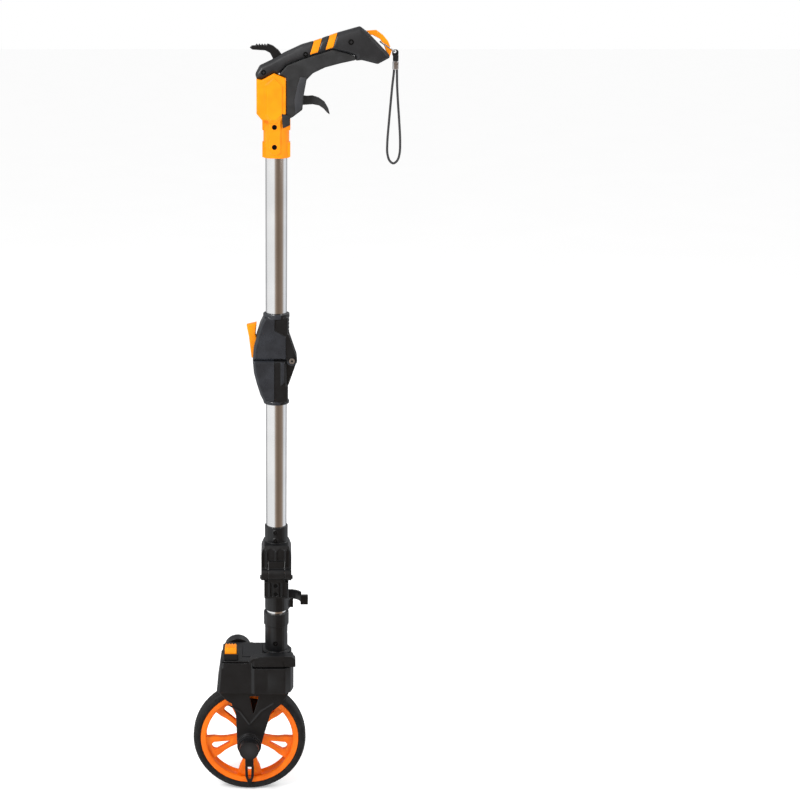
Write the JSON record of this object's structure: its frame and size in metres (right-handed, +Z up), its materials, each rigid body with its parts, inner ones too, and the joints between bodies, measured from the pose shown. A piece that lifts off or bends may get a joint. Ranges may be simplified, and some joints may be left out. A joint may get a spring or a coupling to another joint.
{
  "type": "measuring wheel",
  "caption": "Folding distance measuring wheel with a pistol grip, two folding hinges in its pole and a geared counter above the wheel.",
  "frame": {"origin": "middle of the hand grip, where a hand holds the tool, in the tool's middle plane", "axes": "+Z up along the pole, +X from the pole towards the grip's tail, +Y to the side of the drive cover"},
  "size_m": [0.2772, 0.132, 1.058],
  "materials": {
    "handle_plastic": "fine grain moulded plastic, charcoal",
    "soft_grip": "soft touch grip, matte",
    "orange_plastic": "amber orange moulded plastic, satin",
    "rim_plastic": "deep orange moulded plastic, satin",
    "tyre_rubber": "black rubber, matte",
    "tube_aluminium": "satin anodised aluminium",
    "steel": "brushed steel",
    "lens": "smoked clear plastic, glossy",
    "drum_white": "white plastic drums",
    "cord": "braided black cord",
    "body_plastic": "fine grain moulded plastic, charcoal"
  },
  "bodies": {
    "handle_section": {"handle_shell_near": "handle_plastic", "handle_shell_far": "handle_plastic", "stripe_front": "orange_plastic", "stripe_rear": "orange_plastic", "grip_near": "soft_grip", "grip_far": "soft_grip", "trigger_pin": "steel", "thumb_lever_pin": "steel", "lanyard_bow": "orange_plastic", "lanyard_ring": "steel", "lanyard_swivel": "body_plastic", "lanyard_crimp": "steel", "wrist_cord": "cord", "neck_shell_near": "orange_plastic", "neck_shell_far": "orange_plastic", "upper_tube": "tube_aluminium", "pole_hinge_upper": "body_plastic", "pole_hinge_pin": "steel", "hinge_lever_pin": "steel"},
    "trigger": {"trigger": "soft_grip"},
    "thumb_lever": {"thumb_lever": "body_plastic"},
    "fold_latch": {"hinge_lever": "orange_plastic"},
    "middle_section": {"pole_hinge_lower": "body_plastic", "middle_tube": "tube_aluminium", "stem_hinge_upper": "body_plastic", "stem_hinge_pin": "steel", "latch_pin": "steel"},
    "hinge_catch": {"stem_hinge_latch": "body_plastic"},
    "wheel_section": {"stem_hinge_lower": "body_plastic", "stem_tube": "tube_aluminium", "head_shell_near": "body_plastic", "head_shell_far": "body_plastic", "counter_lid": "body_plastic", "display_lens": "lens", "reset_collar": "body_plastic", "stem_socket": "body_plastic", "drive_cover": "body_plastic", "drive_belt": "tyre_rubber", "counter_axle": "steel", "counter_frame": "steel", "axle_bush_near": "steel", "axle_bush_far": "steel", "hub_cap": "body_plastic", "ground_pointer": "body_plastic"},
    "storage_clip": {"storage_clip": "body_plastic"},
    "reset_button": {"reset_button": "orange_plastic"},
    "wheel": {"tyre": "tyre_rubber", "rim": "rim_plastic", "axle": "steel", "drive_pulley": "body_plastic"},
    "counter_shaft": {"counter_shaft": "steel"},
    "tenth_metre_drum": {"tenth_metre_drum": "drum_white"},
    "unit_metre_drum": {"unit_metre_drum": "drum_white"},
    "ten_metre_drum": {"ten_metre_drum": "drum_white"},
    "hundred_metre_drum": {"hundred_metre_drum": "drum_white"},
    "thousand_metre_drum": {"thousand_metre_drum": "drum_white"}
  },
  "joints": [
    {"name": "trigger_squeeze", "type": "hinge", "parent": "handle_section", "child": "trigger", "pos_m": [-0.051, 0, -0.063], "axis": [0, -1, 0], "range_deg": [0, 15], "stiffness_Nm_per_rad": 0.4, "springref_deg": -11.46},
    {"name": "thumb_lever_press", "type": "hinge", "parent": "handle_section", "child": "thumb_lever", "pos_m": [-0.075, 0, -0.02], "axis": [0, -1, 0], "range_deg": [0, 14], "stiffness_Nm_per_rad": 0.4, "springref_deg": -11.46},
    {"name": "fold_latch_press", "type": "hinge", "parent": "handle_section", "child": "fold_latch", "pos_m": [-0.1029, 0, -0.3828], "axis": [0, 1, 0], "range_deg": [0, 6], "stiffness_Nm_per_rad": 0.4, "springref_deg": -11.46},
    {"name": "pole_fold", "type": "hinge", "parent": "handle_section", "child": "middle_section", "pos_m": [-0.0575, 0, -0.3998], "axis": [0, -1, 0], "range_deg": [0, 180], "deforming": ["wrist_cord"]},
    {"name": "wheel_fold", "type": "hinge", "parent": "middle_section", "child": "wheel_section", "pos_m": [-0.078, -0.028, -0.6955], "axis": [-1, 0, 0], "range_deg": [0, 180]},
    {"name": "hinge_catch_press", "type": "hinge", "parent": "middle_section", "child": "hinge_catch", "pos_m": [-0.078, 0.0202, -0.6725], "axis": [1, 0, 0], "range_deg": [0, 12], "stiffness_Nm_per_rad": 0.4, "springref_deg": -11.46},
    {"name": "clip_swivel", "type": "hinge", "parent": "wheel_section", "child": "storage_clip", "pos_m": [-0.078, 0, -0.77035], "axis": [0, 0, -1], "range_deg": [0, 126.79]},
    {"name": "reset_press", "type": "slide", "parent": "wheel_section", "child": "reset_button", "axis": [0, 0, -1], "range_m": [0, 0.003], "stiffness_N_per_m": 400, "springref_m": -0.003},
    {"name": "wheel_spin", "type": "hinge", "parent": "wheel_section", "child": "wheel", "pos_m": [-0.116, 0, -0.95138], "axis": [0, 1, 0], "continuous": true},
    {"name": "counter_shaft_spin", "type": "hinge", "parent": "wheel_section", "child": "counter_shaft", "pos_m": [-0.1332, 0.02, -0.842], "axis": [0, 1, 0], "continuous": true},
    {"name": "tenth_drum_spin", "type": "hinge", "parent": "wheel_section", "child": "tenth_metre_drum", "pos_m": [-0.1092, 0, -0.842], "axis": [0, 1, 0], "continuous": true},
    {"name": "unit_drum_spin", "type": "hinge", "parent": "wheel_section", "child": "unit_metre_drum", "pos_m": [-0.1092, 0, -0.842], "axis": [0, 1, 0], "continuous": true},
    {"name": "ten_drum_spin", "type": "hinge", "parent": "wheel_section", "child": "ten_metre_drum", "pos_m": [-0.1092, 0, -0.842], "axis": [0, 1, 0], "continuous": true},
    {"name": "hundred_drum_spin", "type": "hinge", "parent": "wheel_section", "child": "hundred_metre_drum", "pos_m": [-0.1092, 0, -0.842], "axis": [0, 1, 0], "continuous": true},
    {"name": "thousand_drum_spin", "type": "hinge", "parent": "wheel_section", "child": "thousand_metre_drum", "pos_m": [-0.1092, 0, -0.842], "axis": [0, 1, 0], "continuous": true}
  ],
  "couplings": [
    {"joint": "wheel_fold", "follows": "pole_fold", "ratio": 1},
    {"joint": "counter_shaft_spin", "follows": "wheel_spin", "ratio": 0.5},
    {"joint": "tenth_drum_spin", "follows": "wheel_spin", "ratio": -0.5},
    {"joint": "unit_drum_spin", "follows": "wheel_spin", "ratio": -0.05},
    {"joint": "ten_drum_spin", "follows": "wheel_spin", "ratio": -0.005},
    {"joint": "hundred_drum_spin", "follows": "wheel_spin", "ratio": -0.0005},
    {"joint": "thousand_drum_spin", "follows": "wheel_spin", "ratio": -0.00005}
  ]
}
